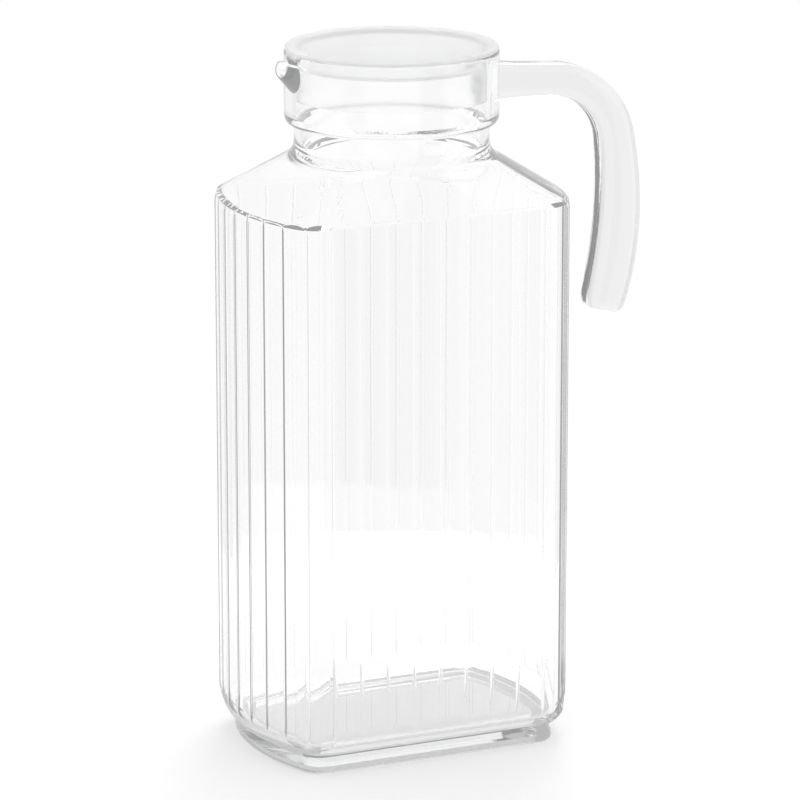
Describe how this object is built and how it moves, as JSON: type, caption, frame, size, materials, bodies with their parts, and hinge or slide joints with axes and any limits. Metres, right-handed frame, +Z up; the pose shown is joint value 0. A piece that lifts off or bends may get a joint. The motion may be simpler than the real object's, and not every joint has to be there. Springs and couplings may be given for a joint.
{
  "type": "glass jug with lid",
  "caption": "Tall fluted glass fridge jug with a flattened body, a pouring spout, a solid glass hook handle and a push-in plastic lid.",
  "frame": {"origin": "centre of the foot on the table, on the axis of the body and the mouth", "axes": "+Z up out of the mouth, +X towards the handle, -X towards the spout, -Y the broad front face"},
  "size_m": [0.1702, 0.091, 0.272],
  "materials": {
    "clear_glass": "clear pressed glass, fire-polished and glossy",
    "lid_plastic": "translucent white moulded plastic, satin"
  },
  "bodies": {
    "jug": {"vessel": "clear_glass", "handle": "clear_glass"},
    "lid": {"lid": "lid_plastic"}
  },
  "joints": [
    {"name": "lid_lift", "type": "slide", "parent": "jug", "child": "lid", "axis": [0, 0, 1], "range_m": [0, 0.06]}
  ]
}
